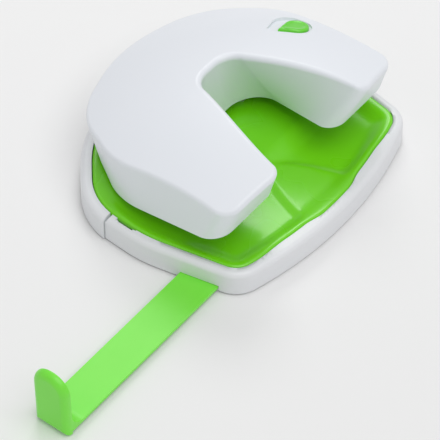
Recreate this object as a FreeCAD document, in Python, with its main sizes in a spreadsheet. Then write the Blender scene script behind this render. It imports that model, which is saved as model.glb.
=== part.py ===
import math
import os
import FreeCAD
import Part
import Sketcher

# Two-hole desk punch: 80 mm pitch, hinged cover, slide-out paper guide.
# +Z up, X along the row of holes, -Y where the paper goes in.
# The origin is on the table, under the middle of the base.

doc = FreeCAD.newDocument("hole_punch")

sizes = [
    # base outline, right half, before its corners are rounded
    ("front_apex", 62.2), ("corner_wide", 57.3), ("corner_front", 47.2),
    ("side_wide", 65.8), ("side_front", 4.0), ("shoulder_wide", 63.8),
    ("shoulder_back", 27.0), ("rear_wide", 36.0), ("rear_back", 50.5),
    ("back_apex", 60.0), ("front_bow", 2.984), ("corner_round", 13.0),
    ("side_round", 60.0), ("shoulder_round", 34.0), ("rear_round", 60.0),
    ("back_round", 78.0),
    # the two skirts that close the base
    ("floor_gap", 1.0), ("base_high", 11.0), ("rim_width", 4.0), ("rim_round", 2.4),
    ("split_back", 15.0), ("split_gap", 0.3), ("rear_proud", 0.7),
    # deck
    ("deck_gap", 0.25), ("deck_thick", 5.0), ("deck_proud", 0.2), ("deck_lip", 1.2),
    ("dish_inset", 5.0), ("dish_deep", 2.8), ("platform_wide", 50.0),
    ("platform_front", 13.0), ("platform_hip", 24.0), ("platform_back", 38.0),
    ("platform_rear_wide", 41.0), ("platform_round", 9.0), ("tongue_narrow", 8.0),
    ("tongue_wide", 15.0), ("tongue_bend", 24.0), ("tongue_front", 45.5),
    ("tongue_high", 1.2), ("chip_hole", 7.6),
    # punch frames
    ("pin_pitch", 80.0), ("pin_back", -1.0), ("throat_deep", 12.0),
    ("throat_high", 2.8), ("plate_thick", 2.0), ("frame_wide", 18.0),
    ("frame_nose", 8.6), ("nose_corner", 2.5), ("corner_clip", 2.8),
    ("ear_shift", 12.0), ("ear_back", 36.0), ("ear_round", 5.0),
    # hinge axle
    ("axle_back", 30.0), ("axle_high", 20.0), ("axle_thick", 5.0), ("axle_fit", 0.05),
    ("axle_end", 2.6), ("clip_thick", 0.8), ("clip_wide", 8.4), ("groove_deep", 0.5),
    # pins and springs
    ("pin_thick", 6.0), ("pin_fit", 0.05), ("pin_rest", 0.2), ("edge_round", 7.0),
    ("edge_deep", 0.7), ("pin_clip_drop", 1.9), ("pin_clip_wide", 10.0),
    ("press_gap", 0.3), ("coil_wide", 7.6), ("coil_wire", 0.6), ("coil_turns", 4.0),
    # lever plate under the cover, as it stands with the cover shut
    ("open_angle", 11.0), ("lever_high", 27.0), ("nose_round", 3.5),
    ("nose_ahead", 1.0), ("lever_wide", 13.4), ("lever_back", 33.0), ("lever_bend", 14.0),
    ("bar_front", 22.0), ("lever_ear_round", 4.5), ("lever_screw_front", 9.0),
    ("lever_screw_back", 25.0), ("lever_screw_long", 7.0), ("post_wide", 6.0),
    # cover, shut: its lower edge, its crest, and how far the crest leans in
    ("cover_low", 13.0), ("crest_high", 48.0), ("cover_wall", 2.4),
    ("arm_front", 36.7), ("arm_inner", 18.0), ("arm_over", 18.0),
    ("notch_wide", 27.0), ("notch_back", 12.0), ("notch_round", 13.0),
    ("inner_round", 7.0), ("outer_round", 9.0), ("hip_round", 40.0),
    ("rear_corner_round", 35.0), ("tail_round", 60.0), ("hip_tuck", 2.5),
    ("cover_hip_back", 16.0), ("cover_rear_wide", 36.0), ("cover_rear_back", 45.0),
    ("cover_back", 55.0), ("top_arm_front", 62.0), ("arm_crest_wide", 17.5),
    ("top_outer_front", 52.0), ("arm_lean", 5.5), ("top_notch_wide", 7.0),
    ("top_notch_back", 5.4), ("top_notch_round", 8.5), ("hip_lean", 3.0),
    ("top_hip_back", 15.0), ("top_rear_wide", 42.0), ("top_rear_back", 47.5),
    ("top_back", 58.5), ("dome_high", 45.0), ("dome_back", 3.0), ("dome_round", 143.0),
    ("crest_round", 2.0), ("rear_lift_start", 24.0), ("rear_lift_angle", 12.5),
    # lock
    ("lock_out", 4.0), ("lock_back", -3.0), ("lock_travel", 4.5), ("button_round", 5.2),
    ("button_tip", 8.0), ("button_tip_back", 3.4), ("button_high", 2.8),
    ("recess_margin", 1.2), ("recess_deep", 1.2), ("stem_wide", 3.0),
    ("stem_deep", 4.3), ("catch_high", 3.2), ("catch_thick", 1.5), ("catch_gap", 0.8),
    ("catch_back", 5.3), ("hook_thick", 1.5), ("hook_reach", 2.8), ("hook_wide", 3.0),
    # paper guide
    ("guide_back", -29.6), ("guide_wide", 16.4), ("guide_thick", 1.4),
    ("guide_low", 2.0), ("guide_fit", 0.2), ("sheet_long", 297.0), ("guide_long", 122.0),
    ("guide_end_round", 1.5), ("tab_thick", 3.4), ("tab_high", 31.0), ("tab_low", 0.8),
    ("tab_fillet", 7.0), ("tab_soft", 3.0), ("rail_thick", 1.4), ("lip_wide", 1.2),
    # chip tray
    ("tray_wide", 52.0), ("tray_front", 16.5), ("tray_hip_back", 22.0),
    ("tray_rear_wide", 31.0), ("tray_back", 37.0), ("tray_wall", 1.4),
    ("tray_low", 1.5), ("tray_high", 5.2), ("tray_corner", 4.0), ("tray_gap", 0.4),
    ("tray_pin", 2.4), ("tray_pin_fit", 0.1), ("tray_pin_wide", 27.0),
    ("tray_pin_high", 4.4), ("tray_pin_back", 40.5), ("tray_pin_wall", 0.4),
    ("lug_thick", 2.4), ("lug_ahead", 1.9), ("lug_drop", 2.4), ("lug_long", 9.5),
    # feet and screws
    ("foot_wide", 8.6), ("foot_high", 1.9), ("foot_fit", 0.1),
    ("foot_side", 46.5), ("foot_front", 43.6), ("rear_foot_side", 36.5),
    ("rear_foot_back", 41.5), ("boss_wall", 1.2), ("screw_thick", 2.6),
    ("screw_head_wide", 5.2), ("screw_head_high", 1.6), ("screw_fit", 0.1),
    ("screw_roof", 0.8), ("head_rise", 0.6), ("skirt_screw_side", 30.0),
    ("skirt_screw_front", 44.0), ("rear_screw_side", 20.0), ("rear_screw_back", 44.5),
    ("boss_wide", 7.0), ("rib_thick", 2.2), ("frame_screw_out", 3.6),
    ("frame_screw_back", 20.0),
]

sheet = doc.addObject("Spreadsheet::Sheet", "Sizes")
for row, (word, number) in enumerate(sizes, start=1):
    sheet.set(f"A{row}", word)
    sheet.set(f"B{row}", str(number))
    sheet.setAlias(f"B{row}", word)
doc.recompute()


# A length together with the spreadsheet formula that gives it.
class Length:
    def __init__(self, value, formula):
        self.value = value
        self.formula = formula

    def __add__(self, other):
        other = length(other)
        return Length(self.value + other.value,
                      f"({self.formula} + {other.formula})")

    def __sub__(self, other):
        other = length(other)
        return Length(self.value - other.value,
                      f"({self.formula} - {other.formula})")

    def __mul__(self, factor):
        factor = length(factor)
        return Length(self.value * factor.value,
                      f"({self.formula} * {factor.formula})")

    def __truediv__(self, divisor):
        divisor = length(divisor)
        return Length(self.value / divisor.value,
                      f"({self.formula} / {divisor.formula})")

    def __neg__(self):
        return Length(-self.value, f"(0 - {self.formula})")

    __radd__ = __add__
    __rmul__ = __mul__

    def __rsub__(self, other):
        return length(other) - self


def length(number):
    if isinstance(number, Length):
        return number
    return Length(float(number), repr(float(number)))


def of_angle(function, angle):
    turn = getattr(math, function)(math.radians(angle.value))
    return Length(turn, f"{function}({angle.formula} * 1 deg)")


class Sizes:
    def __getattr__(self, word):
        return Length(float(sheet.get(word)), f"Sizes.{word}")


s = Sizes()

# levels that several pieces share
base_top = s.floor_gap + s.base_high
deck_top = base_top + s.deck_proud
deck_low = deck_top - s.deck_thick
dish_floor = deck_top - s.dish_deep
die_top = deck_top + s.plate_thick
guide_plate_low = die_top + s.throat_high
guide_plate_top = guide_plate_low + s.plate_thick
pin_side = s.pin_pitch / 2
hinge_side = pin_side - s.ear_shift
web_front = s.pin_back + s.throat_deep
lock_side = pin_side + s.lock_out
arm_outer = pin_side + s.arm_over
crest_outer = arm_outer - s.arm_lean
front_round = s.corner_wide * s.front_bow
guide_front = s.guide_back - s.guide_wide / 2
guide_rear = s.guide_back + s.guide_wide / 2
skirt_head_low = s.floor_gap + s.head_rise
skirt_head_top = skirt_head_low + s.screw_head_high
skirt_screw_top = dish_floor - s.screw_roof
far = length(90)


def bind(item, **values):
    for name, value in values.items():
        item.setExpression(name.replace("__", "."), length(value).formula)


def origin_plane(body, role):
    return [f for f in body.Origin.OriginFeatures if f.Role == role][0]


def new_body(label):
    body = doc.addObject("PartDesign::Body", label)
    body.Label = label
    return body


def new_sketch(body, name, level, role="XY_Plane"):
    sketch = body.newObject("Sketcher::SketchObject", name)
    sketch.AttachmentSupport = [(origin_plane(body, role), "")]
    sketch.MapMode = "FlatFace"
    sketch.setExpression("AttachmentOffset.Base.z", length(level).formula)
    return sketch


def fix_point(sketch, geometry, point, x, y):
    for kind, value, axis in (("DistanceX", x, -2), ("DistanceY", y, -1)):
        if value.value == 0:
            sketch.addConstraint(Sketcher.Constraint("PointOnObject", geometry, point, axis))
            continue
        index = sketch.addConstraint(
            Sketcher.Constraint(kind, -1, 1, geometry, point, value.value))
        sketch.setExpression(f"Constraints[{index}]", value.formula)


def draw_polygon(sketch, corners):
    corners = [(length(x), length(y)) for x, y in corners]
    spots = [FreeCAD.Vector(x.value, y.value, 0) for x, y in corners]
    first = len(sketch.Geometry)
    count = len(spots)
    for i in range(count):
        sketch.addGeometry(Part.LineSegment(spots[i], spots[(i + 1) % count]), False)
    for i in range(count):
        ahead = first + (i + 1) % count
        sketch.addConstraint(Sketcher.Constraint("Coincident", first + i, 2, ahead, 1))
    for i, (x, y) in enumerate(corners):
        fix_point(sketch, first + i, 1, x, y)


def draw_circle(sketch, x, y, width):
    x, y, radius = length(x), length(y), length(width) / 2
    centre = FreeCAD.Vector(x.value, y.value, 0)
    place = sketch.addGeometry(
        Part.Circle(centre, FreeCAD.Vector(0, 0, 1), radius.value), False)
    index = sketch.addConstraint(Sketcher.Constraint("Radius", place, radius.value))
    sketch.setExpression(f"Constraints[{index}]", radius.formula)
    fix_point(sketch, place, 3, x, y)


def rectangle(x_low, x_high, y_low, y_high):
    return [(x_low, y_low), (x_high, y_low), (x_high, y_high), (x_low, y_high)]


# A pad or a pocket whose result must differ in volume from what it starts from.
def add_feature(body, kind, name, sketch, depth, flip=False):
    before = body.Tip.Shape.Volume if body.Tip and not body.Tip.Shape.isNull() else 0
    feature = body.newObject(f"PartDesign::{kind}", name)
    feature.Profile = sketch
    feature.Reversed = flip
    feature.setExpression("Length", length(depth).formula)
    sketch.Visibility = False
    doc.recompute()
    if abs(feature.Shape.Volume - before) < 1e-3:
        raise RuntimeError(f"{name} changes nothing")
    return feature


def pad(body, name, level, height, draw):
    sketch = new_sketch(body, f"{name}_sketch", level)
    draw(sketch)
    return add_feature(body, "Pad", name, sketch, height)


# Cuts upwards from the level given.
def pocket(body, name, level, height, draw):
    sketch = new_sketch(body, f"{name}_sketch", level)
    draw(sketch)
    return add_feature(body, "Pocket", name, sketch, height, flip=True)


def middle(edge):
    return edge.valueAt((edge.FirstParameter + edge.LastParameter) / 2)


def round_edges(body, name, radius, wanted):
    base = body.Tip
    names = [f"Edge{i}" for i, edge in enumerate(base.Shape.Edges, start=1) if wanted(edge)]
    if not names:
        raise RuntimeError(f"{name} finds no edge")
    fillet = body.newObject("PartDesign::Fillet", name)
    fillet.Base = (base, names)
    fillet.setExpression("Radius", length(radius).formula)
    doc.recompute()
    return fillet


def upright_at(x, y, reach=1.6, low=None):
    x, y = length(x).value, length(y).value

    def wanted(edge):
        if len(edge.Vertexes) != 2:
            return False
        a, b = edge.Vertexes[0].Point, edge.Vertexes[1].Point
        if abs(a.z - b.z) < 0.8 * (a - b).Length:
            return False
        if low is not None and min(a.z, b.z) < length(low).value - 1e-3:
            return False
        spot = middle(edge)
        return abs(abs(spot.x) - x) < reach and abs(spot.y - y) < reach
    return wanted


# Corners of the base outline moved inwards by the same distance all round.
def base_outline(inset):
    inset = length(inset)
    half = [(length(0), -s.front_apex), (s.corner_wide, -s.corner_front),
            (s.side_wide, -s.side_front), (s.shoulder_wide, s.shoulder_back),
            (s.rear_wide, s.rear_back), (length(0), s.back_apex)]
    left = [(-x, y) for x, y in half[-2:0:-1]]
    ring = half + left
    moved = []
    for i, (x, y) in enumerate(ring):
        before, after = ring[i - 1], ring[(i + 1) % len(ring)]
        into = inward(before, (x, y))
        out = inward((x, y), after)
        share = 1 + into.dot(out)
        moved.append((x + inset * ((into.x + out.x) / share),
                      y + inset * ((into.y + out.y) / share)))
    moved[0] = (length(0), moved[0][1])
    moved[5] = (length(0), moved[5][1])
    return moved


def inward(a, b):
    run = FreeCAD.Vector(b[0].value - a[0].value, b[1].value - a[1].value, 0)
    run.normalize()
    return FreeCAD.Vector(-run.y, run.x, 0)


def outline_body(label, inset, level, height):
    body = new_body(label)
    inset = length(inset)
    corners = base_outline(inset)
    pad(body, f"{label}_blank", level, height,
        lambda sketch: draw_polygon(sketch, corners))
    rounds = [front_round, s.corner_round, s.side_round,
              s.shoulder_round, s.rear_round, s.back_round]
    for i, radius in enumerate(rounds):
        x, y = corners[i]
        round_edges(body, f"{label}_round_{i + 1}", radius - inset, upright_at(x, y))
    return body


def combine(body, name, tools, kind="Cut"):
    before = body.Tip.Shape.Volume
    boolean = body.newObject("PartDesign::Boolean", name)
    boolean.setObjects(tools)
    boolean.Type = kind
    doc.recompute()
    if abs(boolean.Shape.Volume - before) < 1e-3:
        raise RuntimeError(f"{name} changes nothing")


def top_edges(level):
    level = length(level).value

    def wanted(edge):
        return all(abs(v.Point.z - level) < 1e-3 for v in edge.Vertexes)
    return wanted


# ---------------------------------------------------------------- base

def cut_rectangle(body, name, x_low, x_high, y_low, y_high, level, height):
    return pocket(body, name, level, height, lambda sketch: draw_polygon(
        sketch, rectangle(x_low, x_high, y_low, y_high)))


def add_rectangle(body, name, x_low, x_high, y_low, y_high, level, height):
    return pad(body, name, level, height, lambda sketch: draw_polygon(
        sketch, rectangle(x_low, x_high, y_low, y_high)))


def open_middle(body, label):
    middle_body = outline_body(f"{label}_middle", s.rim_width, s.floor_gap,
                               s.base_high + 2)
    combine(body, f"{label}_open", [middle_body])


def both_sides(draw, x, *rest):
    def drawn(sketch):
        draw(sketch, -x, *rest)
        draw(sketch, x, *rest)
    return drawn


def foot_boss(body, name, side, y):
    pad(body, name, s.floor_gap, deck_low - s.floor_gap,
        both_sides(draw_circle, side, y, s.foot_wide + 2 * s.boss_wall))
    pocket(body, f"{name}_seat", s.floor_gap, s.foot_high - s.floor_gap,
           both_sides(draw_circle, side, y, s.foot_wide + 2 * s.foot_fit))


def draw_rib(sketch, x, y_low, y_high):
    half = s.rib_thick / 2
    draw_polygon(sketch, rectangle(x - half, x + half, y_low, y_high))


# Hollow bosses for screws that come up from below, ribbed to the wall.
def screw_boss(body, name, side, y, rib_low, rib_high):
    height = deck_low - s.floor_gap
    pad(body, f"{name}_rib", s.floor_gap, height,
        both_sides(draw_rib, side, rib_low, rib_high))
    pad(body, name, s.floor_gap, height, both_sides(draw_circle, side, y, s.boss_wide))
    pocket(body, f"{name}_bore", s.floor_gap, height,
           both_sides(draw_circle, side, y, s.screw_thick + 2 * s.screw_fit))
    pocket(body, f"{name}_seat", s.floor_gap, skirt_head_top - s.floor_gap,
           both_sides(draw_circle, side, y, s.screw_head_wide + 2 * s.screw_fit))




# How far out the straight side of the base stands at the given place.
def side_at(y):
    along = (y + s.corner_front) / (s.corner_front - s.side_front)
    return s.corner_wide + (s.side_wide - s.corner_wide) * along


def make_base_skirt():
    body = outline_body("base_skirt", 0, s.floor_gap, s.base_high)
    round_edges(body, "skirt_rim", s.rim_round, top_edges(base_top))
    open_middle(body, "skirt")
    cut_rectangle(body, "skirt_split", -far, far, s.split_back, far,
                  s.floor_gap - 1, s.base_high + 2)
    for end, low in (("front", guide_front - s.guide_fit - s.rail_thick),
                     ("rear", guide_rear + s.guide_fit)):
        high = low + s.rail_thick
        reach = side_at(high) - s.rim_width / 2
        add_rectangle(body, f"rail_{end}", -reach, reach, low, high,
                      s.floor_gap, deck_low - s.floor_gap)
    lip = s.guide_low - s.guide_fit - s.floor_gap
    add_rectangle(body, "lip_front", 0 - s.corner_wide, s.corner_wide - 3,
                  guide_front - s.guide_fit - 0.2, guide_front + s.lip_wide,
                  s.floor_gap, lip)
    add_rectangle(body, "lip_rear", 0 - s.corner_wide, s.corner_wide - 3,
                  guide_rear - s.lip_wide, guide_rear + s.guide_fit + 0.2,
                  s.floor_gap, lip)
    cut_rectangle(body, "guide_mouth", -far, 3 - s.corner_wide,
                  guide_front - s.guide_fit, guide_rear + s.guide_fit,
                  s.guide_low - s.guide_fit, s.guide_thick + 2 * s.guide_fit)
    foot_boss(body, "front_foot", s.foot_side, -s.foot_front)
    screw_boss(body, "front_boss", s.skirt_screw_side, -s.skirt_screw_front,
               -s.skirt_screw_front - 8, guide_front - s.guide_fit - 0.4)
    return body


def draw_lug(sketch, x):
    half = s.lug_thick / 2
    draw_polygon(sketch, rectangle(x - half, x + half, s.tray_pin_back - s.lug_ahead,
                                   s.tray_pin_back + s.lug_long))


def make_rear_skirt():
    body = outline_body("rear_skirt", -s.rear_proud, s.floor_gap, s.base_high)
    round_edges(body, "rear_rim", s.rim_round, top_edges(base_top))
    open_middle(body, "rear")
    cut_rectangle(body, "rear_split", -far, far, -far,
                  s.split_back + s.split_gap, s.floor_gap - 1, s.base_high + 2)
    foot_boss(body, "rear_foot", s.rear_foot_side, s.rear_foot_back)
    screw_boss(body, "rear_boss", s.rear_screw_side, s.rear_screw_back,
               s.rear_screw_back, s.rear_screw_back + 7)
    lug_low = s.tray_pin_high - s.lug_drop
    pad(body, "tray_lugs", lug_low, deck_low - lug_low,
        both_sides(draw_lug, s.tray_pin_wide + s.tray_gap + s.lug_thick / 2))
    bore = new_sketch(body, "tray_bore_sketch", -far, "YZ_Plane")
    draw_circle(bore, s.tray_pin_back, s.tray_pin_high,
                s.tray_pin + 2 * s.tray_pin_fit)
    add_feature(body, "Pocket", "tray_bore", bore, 2 * far, flip=True)
    return body


def make_deck():
    edge = s.rim_width + s.deck_gap
    body = outline_body("deck", edge, deck_low, s.deck_thick)
    round_edges(body, "deck_edge", s.deck_lip, top_edges(deck_top))
    dish = outline_body("dish", edge + s.dish_inset, dish_floor, s.dish_deep + 1)
    combine(body, "dished", [dish])
    half = [(s.platform_wide, -s.platform_front), (s.platform_wide, s.platform_hip),
            (s.platform_rear_wide, s.platform_back)]
    pad(body, "platform", dish_floor, s.dish_deep, lambda sketch: draw_polygon(
        sketch, half + [(-x, y) for x, y in half[::-1]]))
    round_edges(body, "platform_corners", s.platform_round,
                upright_at(s.platform_wide, -s.platform_front, low=dish_floor))
    half = [(s.tongue_narrow, 1 - s.platform_front), (s.tongue_narrow, -s.tongue_bend),
            (s.tongue_wide, -s.tongue_front)]
    pad(body, "tongue", dish_floor, s.tongue_high, lambda sketch: draw_polygon(
        sketch, half[::-1] + [(-x, y) for x, y in half]))
    pocket(body, "chip_holes", deck_low, deck_top - deck_low,
           both_sides(draw_circle, pin_side, s.pin_back, s.chip_hole))
    wide = s.screw_thick + 2 * s.screw_fit
    for name, x, y, top in (
            ("inner_pilots", hinge_side - s.frame_screw_out, s.frame_screw_back, deck_top),
            ("outer_pilots", hinge_side + s.frame_screw_out, s.frame_screw_back, deck_top),
            ("front_pilots", s.skirt_screw_side, -s.skirt_screw_front, skirt_screw_top),
            ("rear_pilots", s.rear_screw_side, s.rear_screw_back, skirt_screw_top)):
        pocket(body, name, deck_low, top - deck_low,
               both_sides(draw_circle, x, y, wide))
    return body


# ------------------------------------------------- punch frames and axle

def side_sketch(body, name, x):
    return new_sketch(body, name, x, "YZ_Plane")


def cross_bore(body, name, y, z, wide):
    sketch = side_sketch(body, f"{name}_sketch", -far)
    draw_circle(sketch, y, z, wide)
    add_feature(body, "Pocket", name, sketch, 2 * far, flip=True)


# Edges that run along X, at the height and depth given.
def cross_edges_at(y, z, reach=0.05):
    y, z = length(y).value, length(z).value

    def wanted(edge):
        if len(edge.Vertexes) != 2:
            return False
        a, b = edge.Vertexes[0].Point, edge.Vertexes[1].Point
        spot = middle(edge)
        return (abs(a.x - b.x) > 0.9 * (a - b).Length
                and abs(spot.y - y) < reach and abs(spot.z - z) < reach)
    return wanted


def make_punch_frame(label, side):
    body = new_body(label)
    x = side * pin_side
    half = s.frame_wide / 2
    front = s.pin_back - s.frame_nose
    web_back = web_front + s.plate_thick
    ear_top = s.axle_high + s.ear_round
    rear = side * hinge_side
    outer, inner = side * (pin_side + half), side * (hinge_side - half)
    pad(body, f"{label}_foot", deck_top, s.plate_thick, lambda sketch: draw_polygon(
        sketch, [(x - side * half, front), (outer, front), (outer, web_back),
                 (rear + side * half, web_back), (rear + side * half, s.ear_back),
                 (inner, s.ear_back), (inner, web_front), (x - side * half, web_front)]))
    add_rectangle(body, f"{label}_web", inner, outer, web_front, web_back,
                  deck_top, guide_plate_top - deck_top)
    add_rectangle(body, f"{label}_guide", x - half, x + half, front, web_back,
                  guide_plate_low, s.plate_thick)
    round_edges(body, f"{label}_nose", s.nose_corner, upright_at(pin_side, front, reach=12))
    pad(body, f"{label}_ears", deck_top, ear_top - deck_top,
        lambda sketch: [draw_polygon(sketch, rectangle(
            rear + end - s.plate_thick / 2, rear + end + s.plate_thick / 2,
            web_front, s.ear_back)) for end in
            (s.plate_thick / 2 - half, half - s.plate_thick / 2)])
    round_edges(body, f"{label}_ear_round", s.ear_round,
                lambda edge: cross_edges_at(web_front, ear_top)(edge)
                or cross_edges_at(s.ear_back, ear_top)(edge))
    cross_bore(body, f"{label}_axle_bore", s.axle_back, s.axle_high, s.axle_thick)
    pocket(body, f"{label}_pin_bore", deck_top, guide_plate_top - deck_top,
           lambda sketch: draw_circle(sketch, x, s.pin_back,
                                      s.pin_thick + 2 * s.pin_fit))
    pocket(body, f"{label}_screw_holes", deck_top, s.plate_thick,
           lambda sketch: [draw_circle(sketch, rear + end, s.frame_screw_back,
                                       s.screw_thick + 2 * s.screw_fit)
                           for end in (-s.frame_screw_out, s.frame_screw_out)])
    reach = s.corner_clip + 1
    pocket(body, f"{label}_corner_clip", deck_top, ear_top - deck_top,
           lambda sketch: draw_polygon(sketch, [
               (inner - side, web_front - 1), (inner + side * reach, web_front - 1),
               (inner - side, web_front + reach)]))
    return body


def place(item, x, y, z):
    bind(item, Placement__Base__x=x, Placement__Base__y=y, Placement__Base__z=z)


def cylinder(name, wide, high, x, y, z, along="Z"):
    item = doc.addObject("Part::Cylinder", name)
    bind(item, Radius=length(wide) / 2, Height=high)
    if along == "X":
        item.Placement.Rotation = FreeCAD.Rotation(FreeCAD.Vector(0, 1, 0), 90)
    place(item, x, y, z)
    return item


def box(name, x_low, x_high, y_low, y_high, z_low, z_high):
    x_low, y_low, z_low = length(x_low), length(y_low), length(z_low)
    item = doc.addObject("Part::Box", name)
    bind(item, Length=x_high - x_low, Width=y_high - y_low, Height=z_high - z_low)
    place(item, x_low, y_low, z_low)
    return item


def joined(name, parts):
    item = doc.addObject("Part::MultiFuse", name)
    item.Shapes = parts
    return item


def cut(name, base, tool):
    item = doc.addObject("Part::Cut", name)
    item.Base = base
    item.Tool = tool
    return item


def grouped(name, parts):
    item = doc.addObject("Part::Compound", name)
    item.Links = parts
    return item


ear_out = hinge_side + s.frame_wide / 2
neck_wide = s.axle_thick - 2 * s.groove_deep


def make_axle():
    runs = [("rod", s.axle_thick, -ear_out, 2 * ear_out)]
    for end, sign in (("left", -1), ("right", 1)):
        start = ear_out if sign > 0 else -ear_out - s.clip_thick
        tip = ear_out + s.clip_thick if sign > 0 else -ear_out - s.axle_end
        runs.append((f"neck_{end}", neck_wide, start, s.clip_thick))
        runs.append((f"tip_{end}", s.axle_thick, tip, s.axle_end - s.clip_thick))
    return joined("hinge_axle", [
        cylinder(f"axle_{name}", wide, long, x, s.axle_back, s.axle_high, "X")
        for name, wide, x, long in runs])


# A flat ring with one open side, as it snaps into a groove.
def e_clip(name, wide, neck, x, y, z, along):
    disc = cylinder(f"{name}_disc", wide, s.clip_thick, x, y, z, along)
    eye = cylinder(f"{name}_eye", neck, s.clip_thick, x, y, z, along)
    gap = length(neck) / 2 - 0.3
    if along == "X":
        mouth = box(f"{name}_mouth", x, x + s.clip_thick, y - gap, y + gap,
                    z - length(wide), z)
    else:
        mouth = box(f"{name}_mouth", x - gap, x + gap, y - length(wide), y,
                    z, z + s.clip_thick)
    return cut(name, cut(f"{name}_ring", disc, eye), mouth)


def make_axle_clips():
    return grouped("axle_clips", [
        e_clip("axle_clip_left", s.clip_wide, neck_wide, -ear_out - s.clip_thick,
               s.axle_back, s.axle_high, "X"),
        e_clip("axle_clip_right", s.clip_wide, neck_wide, ear_out,
               s.axle_back, s.axle_high, "X")])


# ------------------------------------------------------ pins and springs

nose_y = s.pin_back - s.nose_ahead - s.axle_back
nose_z = s.lever_high + s.plate_thick / 2 - s.axle_high
nose_open = nose_z * of_angle("cos", s.open_angle) - nose_y * of_angle("sin", s.open_angle)
stroke = nose_open - nose_z
pin_top = s.axle_high + nose_open - s.nose_round - s.press_gap
pin_low = guide_plate_low + s.pin_rest
pin_clip_low = pin_top - s.pin_clip_drop - s.clip_thick
pin_neck = s.pin_thick - 2 * s.groove_deep


def make_pin(label, side):
    x = side * pin_side
    shank = cylinder(f"{label}_shank", s.pin_thick, pin_clip_low - pin_low,
                     x, s.pin_back, pin_low)
    neck = cylinder(f"{label}_neck", pin_neck, s.clip_thick, x, s.pin_back, pin_clip_low)
    head = cylinder(f"{label}_head", s.pin_thick, s.pin_clip_drop, x, s.pin_back,
                    pin_clip_low + s.clip_thick)
    hollow = cylinder(f"{label}_hollow", 2 * s.edge_round, s.pin_thick,
                      x - s.pin_thick / 2, s.pin_back,
                      pin_low + s.edge_deep - s.edge_round, "X")
    return cut(label, joined(f"{label}_turned", [shank, neck, head]), hollow)


def make_pin_clip(label, side):
    return e_clip(label, s.pin_clip_wide, pin_neck, side * pin_side, s.pin_back,
                  pin_clip_low, "Z")


def make_spring(label, side):
    wire = s.coil_wire.value
    radius = (s.coil_wide.value - wire) / 2
    rise = pin_clip_low.value - guide_plate_top.value - wire
    steps = int(12 * s.coil_turns.value)
    spots = []
    for step in range(steps + 1):
        turn = 2 * math.pi * s.coil_turns.value * step / steps
        spots.append(FreeCAD.Vector(radius * math.cos(turn), radius * math.sin(turn),
                                    rise * step / steps))
    ring = Part.Wire(Part.makeCircle(wire / 2, spots[0], spots[1] - spots[0]))
    item = doc.addObject("Part::Feature", label)
    item.Shape = Part.makePolygon(spots).makePipeShell([ring], True, False, 1)
    place(item, side * pin_side, s.pin_back, guide_plate_top + s.coil_wire / 2)
    return item


# --------------------------------------------- cover group, built shut

# Turns a finished piece about the axle, from shut to open.
def open_up(item):
    sine, cosine = of_angle("sin", s.open_angle), of_angle("cos", s.open_angle)
    item.Placement.Rotation = FreeCAD.Rotation(
        FreeCAD.Vector(1, 0, 0), -s.open_angle.value)
    item.setExpression("Placement.Rotation.Angle", s.open_angle.formula)
    item.Placement.Rotation.Axis = FreeCAD.Vector(-1, 0, 0)
    place(item, length(0), s.axle_back - (s.axle_back * cosine + s.axle_high * sine),
          s.axle_high - (s.axle_high * cosine - s.axle_back * sine))
    return item


lever_screw_spots = [(pin_side, s.lever_screw_front), (hinge_side, s.lever_screw_back)]


def make_lever_plate():
    body = new_body("lever_plate")
    half = s.lever_wide / 2
    front = s.pin_back - s.nose_ahead
    arm = [(pin_side - half, front), (pin_side + half, front),
           (pin_side + half, s.lever_bend), (hinge_side + half, s.bar_front),
           (hinge_side + half, s.lever_back), (hinge_side - half, s.lever_back),
           (hinge_side - half, s.bar_front), (pin_side - half, s.lever_bend)]
    pad(body, "lever_arms", s.lever_high, s.plate_thick, lambda sketch: [
        draw_polygon(sketch, [(sign * x, y) for x, y in arm]) for sign in (-1, 1)])
    add_rectangle(body, "lever_bar", -hinge_side, hinge_side, s.bar_front, s.lever_back,
                  s.lever_high, s.plate_thick)
    low = s.axle_high - s.lever_ear_round
    for name, end in (("inner", s.plate_thick / 2 - half), ("outer", half - s.plate_thick / 2)):
        pad(body, f"lever_ears_{name}", low, s.lever_high + s.plate_thick / 2 - low,
            both_sides(lambda sketch, x: draw_polygon(sketch, rectangle(
                x - s.plate_thick / 2, x + s.plate_thick / 2,
                s.axle_back - s.lever_ear_round, s.axle_back + s.lever_ear_round)),
                hinge_side + end))
    round_edges(body, "lever_ear_ends", s.lever_ear_round - 0.05,
                lambda edge: cross_edges_at(s.axle_back - s.lever_ear_round, low)(edge)
                or cross_edges_at(s.axle_back + s.lever_ear_round, low)(edge))
    cross_bore(body, "lever_bore", s.axle_back, s.axle_high, s.axle_thick + 2 * s.axle_fit)
    nose = side_sketch(body, "lever_nose_sketch", -pin_side - half)
    draw_circle(nose, front, s.lever_high + s.plate_thick / 2, 2 * s.nose_round)
    add_feature(body, "Pad", "lever_nose", nose, 2 * (pin_side + half))
    cut_rectangle(body, "lever_gap", half - pin_side, pin_side - half, front - s.nose_round - 1,
                  front + s.nose_round + 1, s.lever_high - s.nose_round, 3 * s.nose_round)
    pocket(body, "lever_screw_holes", s.lever_high, s.plate_thick, lambda sketch: [
        draw_circle(sketch, sign * x, y, s.screw_thick + 2 * s.screw_fit)
        for sign in (-1, 1) for x, y in lever_screw_spots])
    return open_up(body)


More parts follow.
